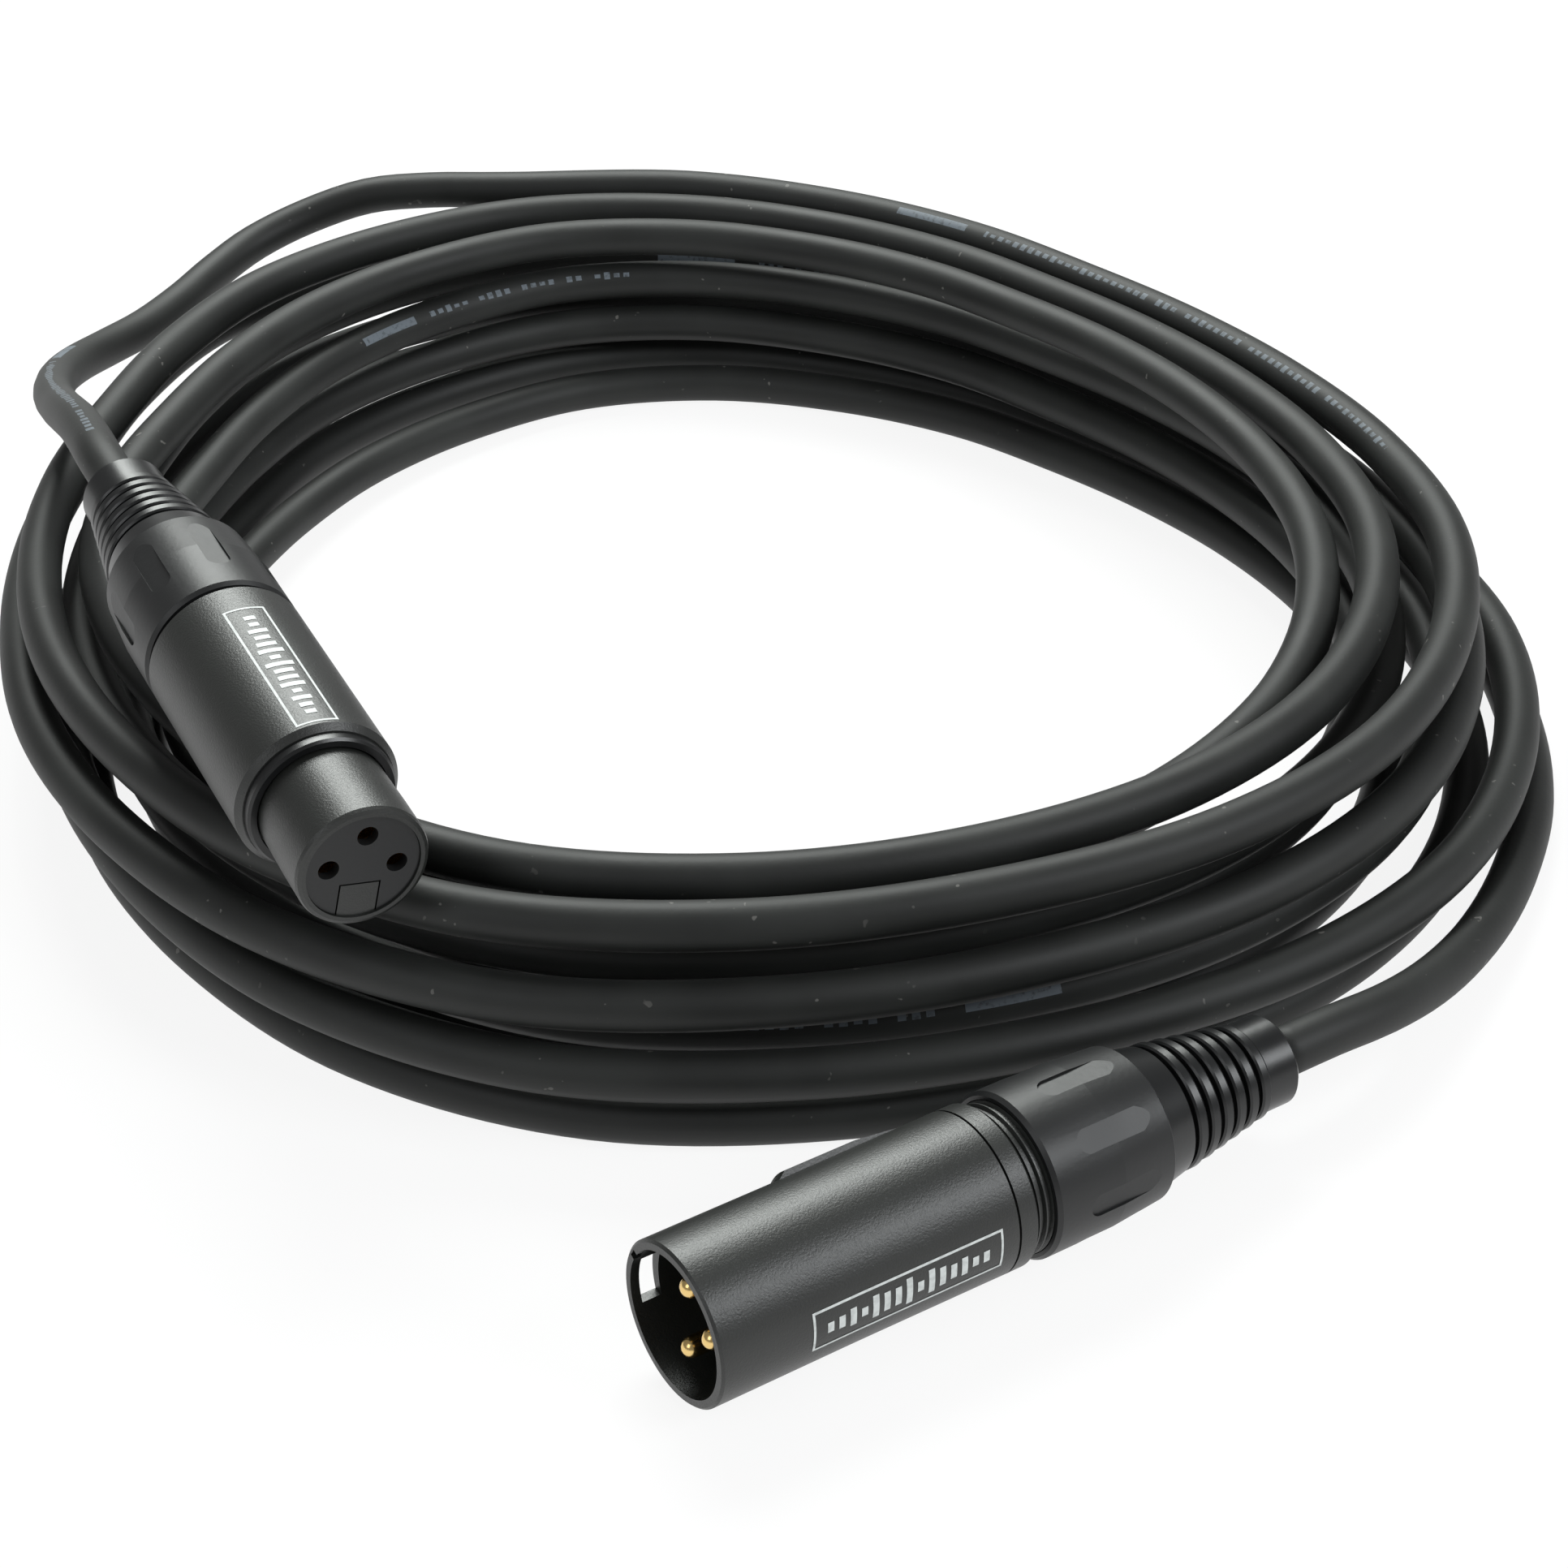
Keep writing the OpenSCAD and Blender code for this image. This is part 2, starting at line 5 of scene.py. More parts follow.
import bpy
from bpy.props import (
    FloatProperty,
    FloatVectorProperty,
    IntProperty,
    PointerProperty,
)
from mathutils import Matrix, Vector


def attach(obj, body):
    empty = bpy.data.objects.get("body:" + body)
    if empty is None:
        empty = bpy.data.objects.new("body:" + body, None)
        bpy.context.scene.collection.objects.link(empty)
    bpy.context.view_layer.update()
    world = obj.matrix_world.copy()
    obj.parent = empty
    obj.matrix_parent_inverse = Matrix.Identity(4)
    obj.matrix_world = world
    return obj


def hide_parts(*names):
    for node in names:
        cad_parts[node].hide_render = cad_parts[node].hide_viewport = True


bl_info = {
    "name": "Coiled microphone cable",
    "version": (1, 0, 0),
    "blender": (4, 5, 0),
    "location": "3D View > Sidebar > Cable",
    "description": "Lays the coiled cable and finishes its plug and socket",
    "category": "Object",
}

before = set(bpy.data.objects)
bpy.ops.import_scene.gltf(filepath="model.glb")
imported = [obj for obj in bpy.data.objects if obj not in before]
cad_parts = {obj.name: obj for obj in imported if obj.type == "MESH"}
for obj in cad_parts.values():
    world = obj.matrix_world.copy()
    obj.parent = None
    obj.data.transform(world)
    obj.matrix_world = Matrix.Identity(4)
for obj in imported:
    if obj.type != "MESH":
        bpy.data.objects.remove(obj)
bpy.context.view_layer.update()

# ---- The two connectors ------------------------------------------------------
# Each runs along its own +X from its mating face to the boot that the cable leaves.
PLUG_PLACE = Matrix.Translation((-0.03626, -0.06449, 0.00995)) @ Matrix.Rotation(
    math.radians(-1.7), 4, "Z"
)
SOCKET_PLACE = (
    Matrix.Translation((-0.03856, -0.00779, 0.037727))
    @ Matrix.Rotation(math.radians(81.5), 4, "Z")
    @ Matrix.Rotation(math.radians(-6.2), 4, "Y")
    @ Matrix.Rotation(math.radians(-80), 4, "X")
)
PLUG_LENGTH = 0.0825
SOCKET_LENGTH = 0.0843

# The shells where they are printed: the plug's widens a little behind its sleeve
PLUG_SLEEVE_RADIUS = 0.0095
PLUG_BODY_X = 0.0173
PLUG_WIDENING = 0.16 / 20.9
SOCKET_RADIUS = 0.00995

# Printed boxes: from and to along the shell, and degrees round it. A bar's width
# is a share of the bars' pitch, and the ink stands a hair off the paint.
PLUG_BOX = (0.0113, 0.036, 0)
SOCKET_BOX = (0.015, 0.0396, -6.2)
BOX_HALF_WIDTH = 0.0026
BOX_LINE = 0.0003
BOX_MARGIN = 0.0015
BOX_BARS = 15
BOX_BAR_WIDTH = 0.55
BOX_BAR_LOWEST = 0.00055
BOX_BAR_VARIATION = 0.0012
INK_LIFT = 0.00004
INK_STEP = 0.0005

# ---- The cable's route -------------------------------------------------------
# It follows the solids' route, but its layers rise a little less, so that the
# round jacket clears the latch button, and the plug's tail rests on the floor.
# The pile is an uneven ring. Its outer radius and the step between turns are
# given every 30 degrees, starting from the direction that the layers lean in.
COIL_AT = Vector((0.06564, 0.06211, 0))
LEAN_HEADING = 100
STATION_ANGLE = 30
OUTER_RADII = (
    0.1115, 0.1, 0.102, 0.1135, 0.125, 0.123, 0.1215, 0.111, 0.0965, 0.092, 0.102, 0.1135
)
TURN_STEPS = (
    0.0135, 0.01, 0.0082, 0.0103, 0.0103, 0.0092, 0.011, 0.0106, 0.0087, 0.0083, 0.01, 0.012
)
TURNS = 10.2
TURN_SPACING = 1.01
LAYERS = 4
REVERSE_TURNS = 0.5
LAYER_STEP = 0.0076
LAYER_LEAN = 0.0036
LAYER_TURNS = (TURNS + REVERSE_TURNS) / LAYERS
SPIRAL_TURNS = LAYER_TURNS - REVERSE_TURNS
POINTS_PER_TURN = 24

PLUG_ROUTE = (
    (0.0651, -0.0665, 0.0086), (0.0761, -0.0637, 0.0063), (0.0871, -0.0597, 0.0046),
    (0.0982, -0.0545, 0.0036), (0.109, -0.0481, 0.0032), (0.1194, -0.0405, 0.0031),
    (0.1288, -0.0315, 0.0031), (0.1378, -0.0205, 0.0031), (0.1458, -0.0083, 0.0031),
    (0.1518, 0.0047, 0.0031), (0.1562, 0.0181, 0.0031), (0.1586, 0.0319, 0.0031),
)
SOCKET_ROUTE = (
    (0.0771, 0.1951, 0.0252), (0.0672, 0.1989, 0.0226), (0.0568, 0.1991, 0.0202),
    (0.047, 0.1955, 0.0184), (0.0376, 0.1899, 0.0174), (0.028, 0.1841, 0.0172),
    (0.0185, 0.1779, 0.0184), (0.0098, 0.1701, 0.0208), (0.0026, 0.1605, 0.024),
    (-0.0032, 0.1495, 0.0278), (-0.0082, 0.1379, 0.0318), (-0.0124, 0.1259, 0.036),
    (-0.0162, 0.1141, 0.0404), (-0.0194, 0.1031, 0.044), (-0.0223, 0.0931, 0.0464),
)
# The cable leaves each boot straight, and has two guide points beside each end
# of the coil, in cable diameters from it
STRAIGHT_EXIT = 0.009
NEAR_GUIDE = 1
FAR_GUIDE = 2.5
ROUTE_STEP = 0.003
TINY = 1e-6

# Marks along the jacket, in metres from the plug's boot: a row of strokes, a
# bar, and the share of the way round from underneath at which they stand
MARKS = (
    (2.391, 2.414, 2.417, 2.429, 0.65),
    (4.01, 4.056, 4.06, 4.074, 0.27),
    (4.69, 4.729, 4.732, 4.744, 0.36),
    (6.33, 6.43, 6.434, 6.448, 0.41),
    (6.64, 6.716, 6.624, 6.636, 0.52),
)
# A stroke's width is a share of the pitch, and heights are shares of the way round
MARK_PITCH = 0.0017
STROKE_WIDTH = 0.6
STROKES_LEFT_OUT = 0.15
STROKE_HALF_HEIGHT = 0.012
STROKE_VARIATION = 0.022
BAR_HALF_HEIGHT = 0.036

# ---- Colours that stay -------------------------------------------------------
DUST = (0.16, 0.155, 0.145)
CLAMP_GREY = (0.05, 0.05, 0.05)
CARRIER_BLACK = (0.011, 0.0115, 0.012)
STEEL = (0.6, 0.6, 0.61)
WIRE_COLOURS = ((0.75, 0.75, 0.72), (0.5, 0.035, 0.03), (0.02, 0.02, 0.02))
WHITE = (1, 1, 1, 1)

# ---- Camera, floor and lamps -------------------------------------------------
CAMERA_FROM_COIL = Vector((-0.244, -0.3419, 0.23624))
CAMERA_DIP = 31.82
CAMERA_HEADING = -36
SENSOR_WIDTH = 36
CLIP_START = 0.01

# The floor's own light, as a share of what the camera sees: below 1 near the
# coil, where its shadow has to show, rising to 1 over these distances from the
# frame's origin, so that the floor's far edge can't be told from the room
FLOOR_HALF_SIDE = 6.0
GLOW_STRENGTH = 1.03
GLOW_NEAR_COIL = 0.86
GLOW_RISES = (0.6, 1.5)

# Name, place, size, power in watts and colour
LAMPS = (
    ("key_lamp", (0.4, 0.72, 0.92), (0.7, 0.5), 16, (0.96, 1, 0.97)),
    ("side_lamp", (-0.9, -0.2, 0.7), (0.5, 0.6), 2, (0.95, 0.98, 1)),
    ("front_lamp", (0.6, -0.9, 0.8), (0.6, 0.5), 8, (0.95, 0.98, 1)),
)
LAMPS_AIM = Vector((0.05, 0.05, 0))


# ---- Laying out the cable ----------------------------------------------------
def around(values, x):
    """Smooth closed curve through the values, one per unit of x."""
    i = math.floor(x)
    f = x - i
    a, b, c, d = (values[(i + k) % len(values)] for k in (-1, 0, 1, 2))
    return b + 0.5 * f * (c - a + f * (2 * a - 5 * b + 4 * c - d + f * (3 * (b - c) + d - a)))


def coil_point(turns, lift):
    """Point on the cable's centre line after so many turns.

    The first layer winds inwards, the next outwards and so on, and the cable
    climbs to the next layer over the last half turn of each.
    """
    whole = min(math.floor(turns / LAYER_TURNS + TINY), LAYERS - 1)
    in_layer = turns - whole * LAYER_TURNS
    sweep = min(in_layer, SPIRAL_TURNS)
    lane = TURN_SPACING * (sweep if whole % 2 == 0 else SPIRAL_TURNS - sweep)
    climb = max(0, in_layer - SPIRAL_TURNS) / REVERSE_TURNS
    layer = whole + (1 - math.cos(math.pi * climb)) / 2
    heading = 360 * turns
    station = (heading - LEAN_HEADING + 360) / STATION_ANGLE
    radius = around(OUTER_RADII, station) - lane * around(TURN_STEPS, station)
    angle = math.radians(heading)
    lean = layer * LAYER_LEAN
    lean_angle = math.radians(LEAN_HEADING)
    return COIL_AT + Vector((
        radius * math.cos(angle) + lean * math.cos(lean_angle),
        radius * math.sin(angle) + lean * math.sin(lean_angle),
        lift + layer * LAYER_STEP,
    ))


def cable_route(diameter):
    """Points from the plug's boot, round the coil, to the socket's boot."""
    points = [PLUG_PLACE @ Vector((PLUG_LENGTH + x, 0, 0)) for x in (0, STRAIGHT_EXIT)]
    points += [Vector(p) for p in PLUG_ROUTE]
    steps = round(TURNS * POINTS_PER_TURN)
    turns = [coil_point(TURNS * i / steps, diameter / 2) for i in range(steps + 1)]
    into = (turns[1] - turns[0]).normalized()
    out = (turns[-1] - turns[-2]).normalized()
    near, far = NEAR_GUIDE * diameter, FAR_GUIDE * diameter
    points += [turns[0] - far * into, turns[0] - near * into]
    points += turns
    points += [turns[-1] + near * out, turns[-1] + far * out]
    points += [Vector(p) for p in SOCKET_ROUTE]
    points += [SOCKET_PLACE @ Vector((SOCKET_LENGTH + x, 0, 0)) for x in (STRAIGHT_EXIT, 0)]
    return points


def smooth_route(points, step):
    """The route's points on one smooth line, about step apart.

    Each span is a cubic whose slopes are weighted by the root of its
    neighbours' lengths, so that close points don't make it overshoot.
    """
    line = []
    count = len(points)
    for i in range(count - 1):
        p0 = points[max(i - 1, 0)]
        p1, p2 = points[i], points[i + 1]
        p3 = points[min(i + 2, count - 1)]
        d1 = max((p1 - p0).length, TINY) ** 0.5
        d2 = (p2 - p1).length ** 0.5
        d3 = max((p3 - p2).length, TINY) ** 0.5
        if i == 0:
            m1 = p2 - p1
        else:
            m1 = d2 * ((p1 - p0) / d1 - (p2 - p0) / (d1 + d2) + (p2 - p1) / d2)
        if i == count - 2:
            m2 = p2 - p1
        else:
            m2 = d2 * ((p2 - p1) / d2 - (p3 - p1) / (d2 + d3) + (p3 - p2) / d3)
        n = max(1, round((p2 - p1).length / step))
        for j in range(n):
            f = j / n
            line.append(
                (2 * f**3 - 3 * f**2 + 1) * p1 + (f**3 - 2 * f**2 + f) * m1
                + (3 * f**2 - 2 * f**3) * p2 + (f**3 - f**2) * m2
            )
    line.append(points[-1])
    return line


def route_frames(line):
    """A sideways and an upward direction at each point, square to the line."""
    frames = []
    for i in range(len(line)):
        along = (line[min(i + 1, len(line) - 1)] - line[max(i - 1, 0)]).normalized()
        side = Vector((0, 0, 1)).cross(along).normalized()
        frames.append((side, along.cross(side)))
    return frames


def route_runs(line):
    """Length of cable from the start to each point."""
    runs = [0]
    for before, after in zip(line, line[1:]):
        runs.append(runs[-1] + (after - before).length)
    return runs


def round_tube(line, runs, radius, sides):
    """Points, faces and their corners' (run, way round) of a closed tube along the line.

    Each ring starts underneath.
    """
    points, corners, faces = [], [], []
    for p, (side, up) in zip(line, route_frames(line)):
        for j in range(sides):
            angle = 2 * math.pi * j / sides - math.pi / 2
            points.append(p + radius * (math.cos(angle) * side + math.sin(angle) * up))
    for i in range(len(line) - 1):
        here, there = i * sides, (i + 1) * sides
        run0, run1 = runs[i], runs[i + 1]
        for j in range(sides):
            k = (j + 1) % sides
            faces.append((here + j, here + k, there + k, there + j))
            v0, v1 = j / sides, (j + 1) / sides
            corners += [(run0, v0), (run0, v1), (run1, v1), (run1, v0)]
    last = (len(line) - 1) * sides
    faces.append(tuple(reversed(range(sides))))
    faces.append(tuple(last + j for j in range(sides)))
    corners += [(runs[0], 0)] * sides + [(runs[-1], 0)] * sides
    return points, faces, corners


# ---- Shader nodes written as expressions -------------------------------------
# Sockets of a Mix node set to colours, which share their names with others
MIX_AMOUNT, MIX_FIRST, MIX_SECOND, MIX_COLOUR = 0, 6, 7, 2


class Value:
    """A shader socket that takes part in arithmetic."""

    def __init__(self, finish, socket):
        self.finish = finish
        self.socket = socket

    def maths(self, operation, *others):
        sockets = dict(enumerate((self,) + others))
        return self.finish.node("ShaderNodeMath", {"operation": operation}, sockets)

    def reflected(self, operation, other):
        """The same, with the other value first."""
        return self.finish.node("ShaderNodeMath", {"operation": operation}, {0: other, 1: self})

    def __add__(self, other):
        return self.maths("ADD", other)

    __radd__ = __add__

    def __mul__(self, other):
        return self.maths("MULTIPLY", other)

    __rmul__ = __mul__

    def __sub__(self, other):
        return self.maths("SUBTRACT", other)

    def __rsub__(self, other):
        return self.reflected("SUBTRACT", other)

    def __truediv__(self, other):
        return self.maths("DIVIDE", other)

    def __rtruediv__(self, other):
        return self.reflected("DIVIDE", other)

    def __gt__(self, other):
        return self.maths("GREATER_THAN", other)

    def __lt__(self, other):
        return self.maths("LESS_THAN", other)

    def between(self, low, high):
        """0 below low, 1 above high, smooth in between."""
        return self.finish.node(
            "ShaderNodeMapRange",
            {"interpolation_type": "SMOOTHSTEP"},
            {"Value": self, "From Min": low, "From Max": high, "To Min": 0.0, "To Max": 1.0},
        )


class Finish:
    """The nodes of a material, given by its new name, or of the world."""

    def __init__(self, owner):
        if isinstance(owner, str):
            owner = bpy.data.materials.new(owner)
        owner.use_nodes = True
        self.owner = owner
        self.tree = owner.node_tree
        self.tree.nodes.clear()

    def node(self, kind, settings=None, sockets=None, output=0):
        """Adds a node with its settings, then its sockets, and gives one of its outputs."""
        node = self.tree.nodes.new(kind)
        for key, value in (settings or {}).items():
            setattr(node, key, value)
        for key, value in (sockets or {}).items():
            if isinstance(value, Value):
                self.tree.links.new(value.socket, node.inputs[key])
            else:
                node.inputs[key].default_value = value
        return Value(self, node.outputs[output]) if node.outputs else None

    def place(self):
        return self.node("ShaderNodeTexCoord", output="Object")

    def along(self):
        """Metres along the cable, and the share of the way round it from underneath."""
        run = self.node("ShaderNodeUVMap", {"uv_map": "run"})
        return (
            self.node("ShaderNodeSeparateXYZ", sockets={0: run}, output=k) for k in (0, 1)
        )

    def noise(self, scale, detail, roughness=0.5):
        sockets = {
            "Vector": self.place(),
            "Scale": scale,
            "Detail": detail,
            "Roughness": roughness,
        }
        return self.node("ShaderNodeTexNoise", sockets=sockets)

    def blend(self, amount, first, second):
        """Colour between first and second."""
        first, second = (
            c if isinstance(c, Value) else (*c[:3], 1.0) for c in (first, second)
        )
        return self.node(
            "ShaderNodeMix",
            {"data_type": "RGBA"},
            {MIX_AMOUNT: amount, MIX_FIRST: first, MIX_SECOND: second},
            output=MIX_COLOUR,
        )

    def shades(self, amount, colour, dark, light):
        """A colour that varies between two shares of itself."""
        return self.blend(amount, [c * dark for c in colour], [c * light for c in colour])

    def bump(self, height, distance, strength):
        sockets = {"Height": height, "Distance": distance, "Strength": strength}
        return self.node("ShaderNodeBump", sockets=sockets)

    def surface(self, sockets):
        """Ends the material in one principled surface."""
        return self.finish_with(self.node("ShaderNodeBsdfPrincipled", sockets=sockets))

    def finish_with(self, shader):
        self.node("ShaderNodeOutputMaterial", sockets={"Surface": shader})
        return self.owner


# ---- Pieces ------------------------------------------------------------------
def dress(names, material):
    """Gives CAD nodes a material."""
    for name in names:
        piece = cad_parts[name]
        piece.data.materials.clear()
        piece.data.materials.append(material)
        piece.data.polygons.foreach_set("use_smooth", [True] * len(piece.data.polygons))


def mesh_piece(name, points, faces, material, body="cable", corners=None):
    """A new piece from its points and faces, riding on a body.

    corners holds the run and the way round for each corner of each face.
    """
    mesh = bpy.data.meshes.new(name)
    mesh.from_pydata([tuple(p) for p in points], [], faces)
    mesh.materials.append(material)
    if corners:
        layer = mesh.uv_layers.new(name="run")
        for i, uv in enumerate(corners):
            layer.data[i].uv = uv
    mesh.polygons.foreach_set("use_smooth", [True] * len(mesh.polygons))
    mesh.update()
    piece = bpy.data.objects.new(name, mesh)
    bpy.context.scene.collection.objects.link(piece)
    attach(piece, body)
    return piece


# ---- Settings ----------------------------------------------------------------
class CableSettings(bpy.types.PropertyGroup):
    diameter: FloatProperty(
        name="Jacket diameter", description="Diameter of the cable", default=0.0061,
        min=0.005, max=0.0065, unit="LENGTH",
    )
    sides: IntProperty(
        name="Sides", description="Facets round the jacket", default=20, min=8, max=32
    )
    colour: FloatVectorProperty(
        name="Jacket", description="Colour of the jacket", subtype="COLOR",
        default=(0.0145, 0.0156, 0.0145), min=0, max=1,
    )
    print_colour: FloatVectorProperty(
        name="Marks", description="Colour of the marks printed along the jacket",
        subtype="COLOR", default=(0.14, 0.165, 0.19), min=0, max=1,
    )


class ConnectorSettings(bpy.types.PropertyGroup):
    paint: FloatVectorProperty(
        name="Shell paint", description="Colour of the metal shells", subtype="COLOR",
        default=(0.010, 0.0113, 0.0098), min=0, max=1,
    )
    plastic: FloatVectorProperty(
        name="Bushings", description="Colour of the plastic bushings", subtype="COLOR",
        default=(0.0095, 0.010, 0.0105), min=0, max=1,
    )
    rubber: FloatVectorProperty(
        name="Boots", description="Colour of the rubber boots", subtype="COLOR",
        default=(0.006, 0.0065, 0.007), min=0, max=1,
    )
    gold: FloatVectorProperty(
        name="Contacts", description="Colour of the plating", subtype="COLOR",
        default=(0.93, 0.66, 0.27), min=0, max=1,
    )
    ink: FloatVectorProperty(
        name="Ink", description="Colour of the printed boxes", subtype="COLOR",
        default=(0.72, 0.75, 0.74), min=0, max=1,
    )


class StageSettings(bpy.types.PropertyGroup):
    floor: FloatVectorProperty(
        name="Floor", description="Colour of the floor", subtype="COLOR",
        default=(0.86, 0.86, 0.86), min=0, max=1,
    )
    lens: FloatProperty(
        name="Lens", description="Focal length on a 36 mm sensor", default=74.53,
        min=20, max=200,
    )
    room: FloatProperty(
        name="Room", description="Strength of the room's even light", default=0.25,
        min=0, max=1,
    )
    lamps: FloatProperty(
        name="Lamps", description="Power of all the lamps, as a share", default=1.0,
        min=0, max=4,
    )


# ---- Camera ------------------------------------------------------------------
class CABLE_OT_camera(bpy.types.Operator):
    """Set the camera that looks at the coil"""

    bl_idname = "cable.camera"
    bl_label = "Camera"

    def execute(self, context):
        data = bpy.data.cameras.new("camera")
        data.sensor_width = SENSOR_WIDTH
        data.lens = context.scene.stage_settings.lens
        data.clip_start = CLIP_START
        camera = bpy.data.objects.new("camera", data)
        context.scene.collection.objects.link(camera)
        camera.location = COIL_AT + CAMERA_FROM_COIL
        camera.rotation_euler = (
            math.radians(90 - CAMERA_DIP), 0, math.radians(CAMERA_HEADING)
        )
        context.scene.camera = camera
        return {"FINISHED"}


# ---- Cable -------------------------------------------------------------------
def jacket_marks(finish):
    """1 on the plain marks printed along the jacket: each a row of strokes and a solid bar."""
    run, round_it = finish.along()
    cell = (run / MARK_PITCH).maths("FLOOR")
    chance = finish.node("ShaderNodeTexWhiteNoise", {"noise_dimensions": "1D"}, {"W": cell})
    in_stroke = (run / MARK_PITCH).maths("FRACT") < STROKE_WIDTH
    strokes = in_stroke * (chance > STROKES_LEFT_OUT)
    tall = STROKE_HALF_HEIGHT + chance * STROKE_VARIATION
    total = 0.0
    for row_start, row_end, bar_start, bar_end, side in MARKS:
        off = (round_it - side).maths("ABSOLUTE")
        row = (run > row_start) * (run < row_end) * strokes * (off < tall)
        bar = (run > bar_start) * (run < bar_end) * (off < BAR_HALF_HEIGHT)
        total = row + bar + total
    return total


def jacket_finish(settings):
    """Matte rubbery jacket with a faint mottle, printed marks and a few specks of dust."""
    finish = Finish("jacket_rubber")
    mottle = finish.noise(scale=55, detail=3)
    grain = finish.noise(scale=900, detail=2)
    base = finish.shades(mottle.between(0.35, 0.7), settings.colour[:], dark=0.8, light=1.35)
    specks = finish.noise(scale=750, detail=1).between(0.735, 0.77)
    dusty = finish.noise(scale=60, detail=1).between(0.5, 0.62)
    base = finish.blend(specks * dusty * 0.7, base, DUST)
    worn = finish.noise(scale=1300, detail=2).between(0.25, 0.5) * 0.6 + 0.4
    base = finish.blend(jacket_marks(finish) * worn, base, settings.print_colour[:])
    return finish.surface({
        "Base Color": base,
        "Roughness": 0.50 + mottle * 0.14,
        "Normal": finish.bump(grain, distance=0.00004, strength=0.5),
        "Specular IOR Level": 0.42,
    })


class CABLE_OT_cable(bpy.types.Operator):
    """Lay the whole cable as one smooth tube from boot to boot"""

    bl_idname = "cable.cable"
    bl_label = "Cable"

    def execute(self, context):
        settings = context.scene.cable_settings
        line = smooth_route(cable_route(settings.diameter), ROUTE_STEP)
        runs = route_runs(line)
        points, faces, corners = round_tube(
            line, runs, settings.diameter / 2, settings.sides
        )
        piece = mesh_piece("cable", points, faces, jacket_finish(settings), corners=corners)
        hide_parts("cable_coil", "plug_tail", "socket_tail")
        return {"FINISHED"}


# ---- Connectors --------------------------------------------------------------
def satin_paint(settings):
    """Black powder paint with a fine orange-peel grain."""
    finish = Finish("satin_black_paint")
    grain = finish.noise(scale=3800, detail=2, roughness=0.6)
    cloud = finish.noise(scale=70, detail=2)
    return finish.surface({
        "Base Color": finish.shades(
            cloud.between(0.3, 0.7), settings.paint[:], dark=0.85, light=1.2
        ),
        "Roughness": 0.36 + grain * 0.12,
        "Normal": finish.bump(grain, distance=0.00005, strength=0.75),
        "Specular IOR Level": 0.7,
    })


def moulded(name, colour, rough, grain_scale, grain_height):
    """Moulded plastic or rubber with a fine grain."""
    finish = Finish(name)
    grain = finish.noise(grain_scale, detail=2)
    cloud = finish.noise(scale=110, detail=2)
    return finish.surface({
        "Base Color": finish.shades(cloud, colour, dark=0.8, light=1.25),
        "Roughness": rough - 0.04 + cloud * 0.1,
        "Normal": finish.bump(grain, grain_height, strength=0.5),
    })


def plated(name, colour, rough):
    """Bright metal with a faint haze."""
    finish = Finish(name)
    haze = finish.noise(scale=600, detail=2)
    return finish.surface({
        "Base Color": finish.shades(haze, colour, dark=0.85, light=1),
        "Metallic": 1.0,
        "Roughness": rough - 0.05 + haze * 0.12,
    })


def white_ink(colour):
    """Printed ink, a little worn."""
    finish = Finish("white_ink")
    wear = finish.noise(scale=1400, detail=2).between(0.3, 0.6)
    return finish.surface({
        "Base Color": finish.shades(wear, colour, dark=0.82, light=1),
        "Roughness": 0.5,
    })


class CABLE_OT_shells(bpy.types.Operator):
    """Paint the metal shells and the latch lever"""

    bl_idname = "cable.shells"
    bl_label = "Shells and latch"

    def execute(self, context):
        paint = satin_paint(context.scene.connector_settings)
        dress(("plug_shell", "socket_shell", "socket_latch"), paint)
        return {"FINISHED"}


class CABLE_OT_bushings(bpy.types.Operator):
    """Finish the bushings, the boots, the soft ring and the cable clamps"""

    bl_idname = "cable.bushings"
    bl_label = "Bushings and boots"

    def execute(self, context):
        settings = context.scene.connector_settings
        plastic = moulded(
            "bushing_plastic", settings.plastic[:], rough=0.42,
            grain_scale=1500, grain_height=0.00003,
        )
        rubber = moulded(
            "boot_rubber", settings.rubber[:], rough=0.3,
            grain_scale=900, grain_height=0.00002,
        )
        clamp = moulded(
            "clamp_plastic", CLAMP_GREY, rough=0.45, grain_scale=1200, grain_height=0.00002
        )
        dress(("plug_bushing", "socket_bushing"), plastic)
        dress(("plug_boot", "socket_boot", "socket_ring"), rubber)
        dress(("plug_clamp", "socket_clamp"), clamp)
        return {"FINISHED"}


class CABLE_OT_contacts(bpy.types.Operator):
    """Finish the carriers, contacts, wires and small steel pieces"""

    bl_idname = "cable.contacts"
    bl_label = "Carriers and contacts"

    def execute(self, context):
        settings = context.scene.connector_settings
        carrier = moulded(
            "carrier_plastic", CARRIER_BLACK, rough=0.42, grain_scale=1800, grain_height=0.00003
        )
        dress(("plug_carrier", "socket_carrier"), carrier)
        names = [f"plug_pin_{i}" for i in (1, 2, 3)]
        names += [f"socket_contact_{i}" for i in (1, 2, 3)]
        dress(names, plated("gold_plate", settings.gold[:], rough=0.22))
        dress(("latch_pivot", "latch_spring"), plated("steel", STEEL, rough=0.3))
        for i, colour in enumerate(WIRE_COLOURS, 1):
            insulation = moulded(
                f"wire_insulation_{i}", colour, rough=0.35,
                grain_scale=1500, grain_height=0.00001,
            )
            dress((f"plug_wire_{i}", f"socket_wire_{i}"), insulation)
        jacket = bpy.data.materials["jacket_rubber"]
        dress(("plug_cable_end", "socket_cable_end"), jacket)
        return {"FINISHED"}


def plug_radius(x):
    return PLUG_SLEEVE_RADIUS + max(0, x - PLUG_BODY_X) * PLUG_WIDENING


def socket_radius(x):
    return SOCKET_RADIUS


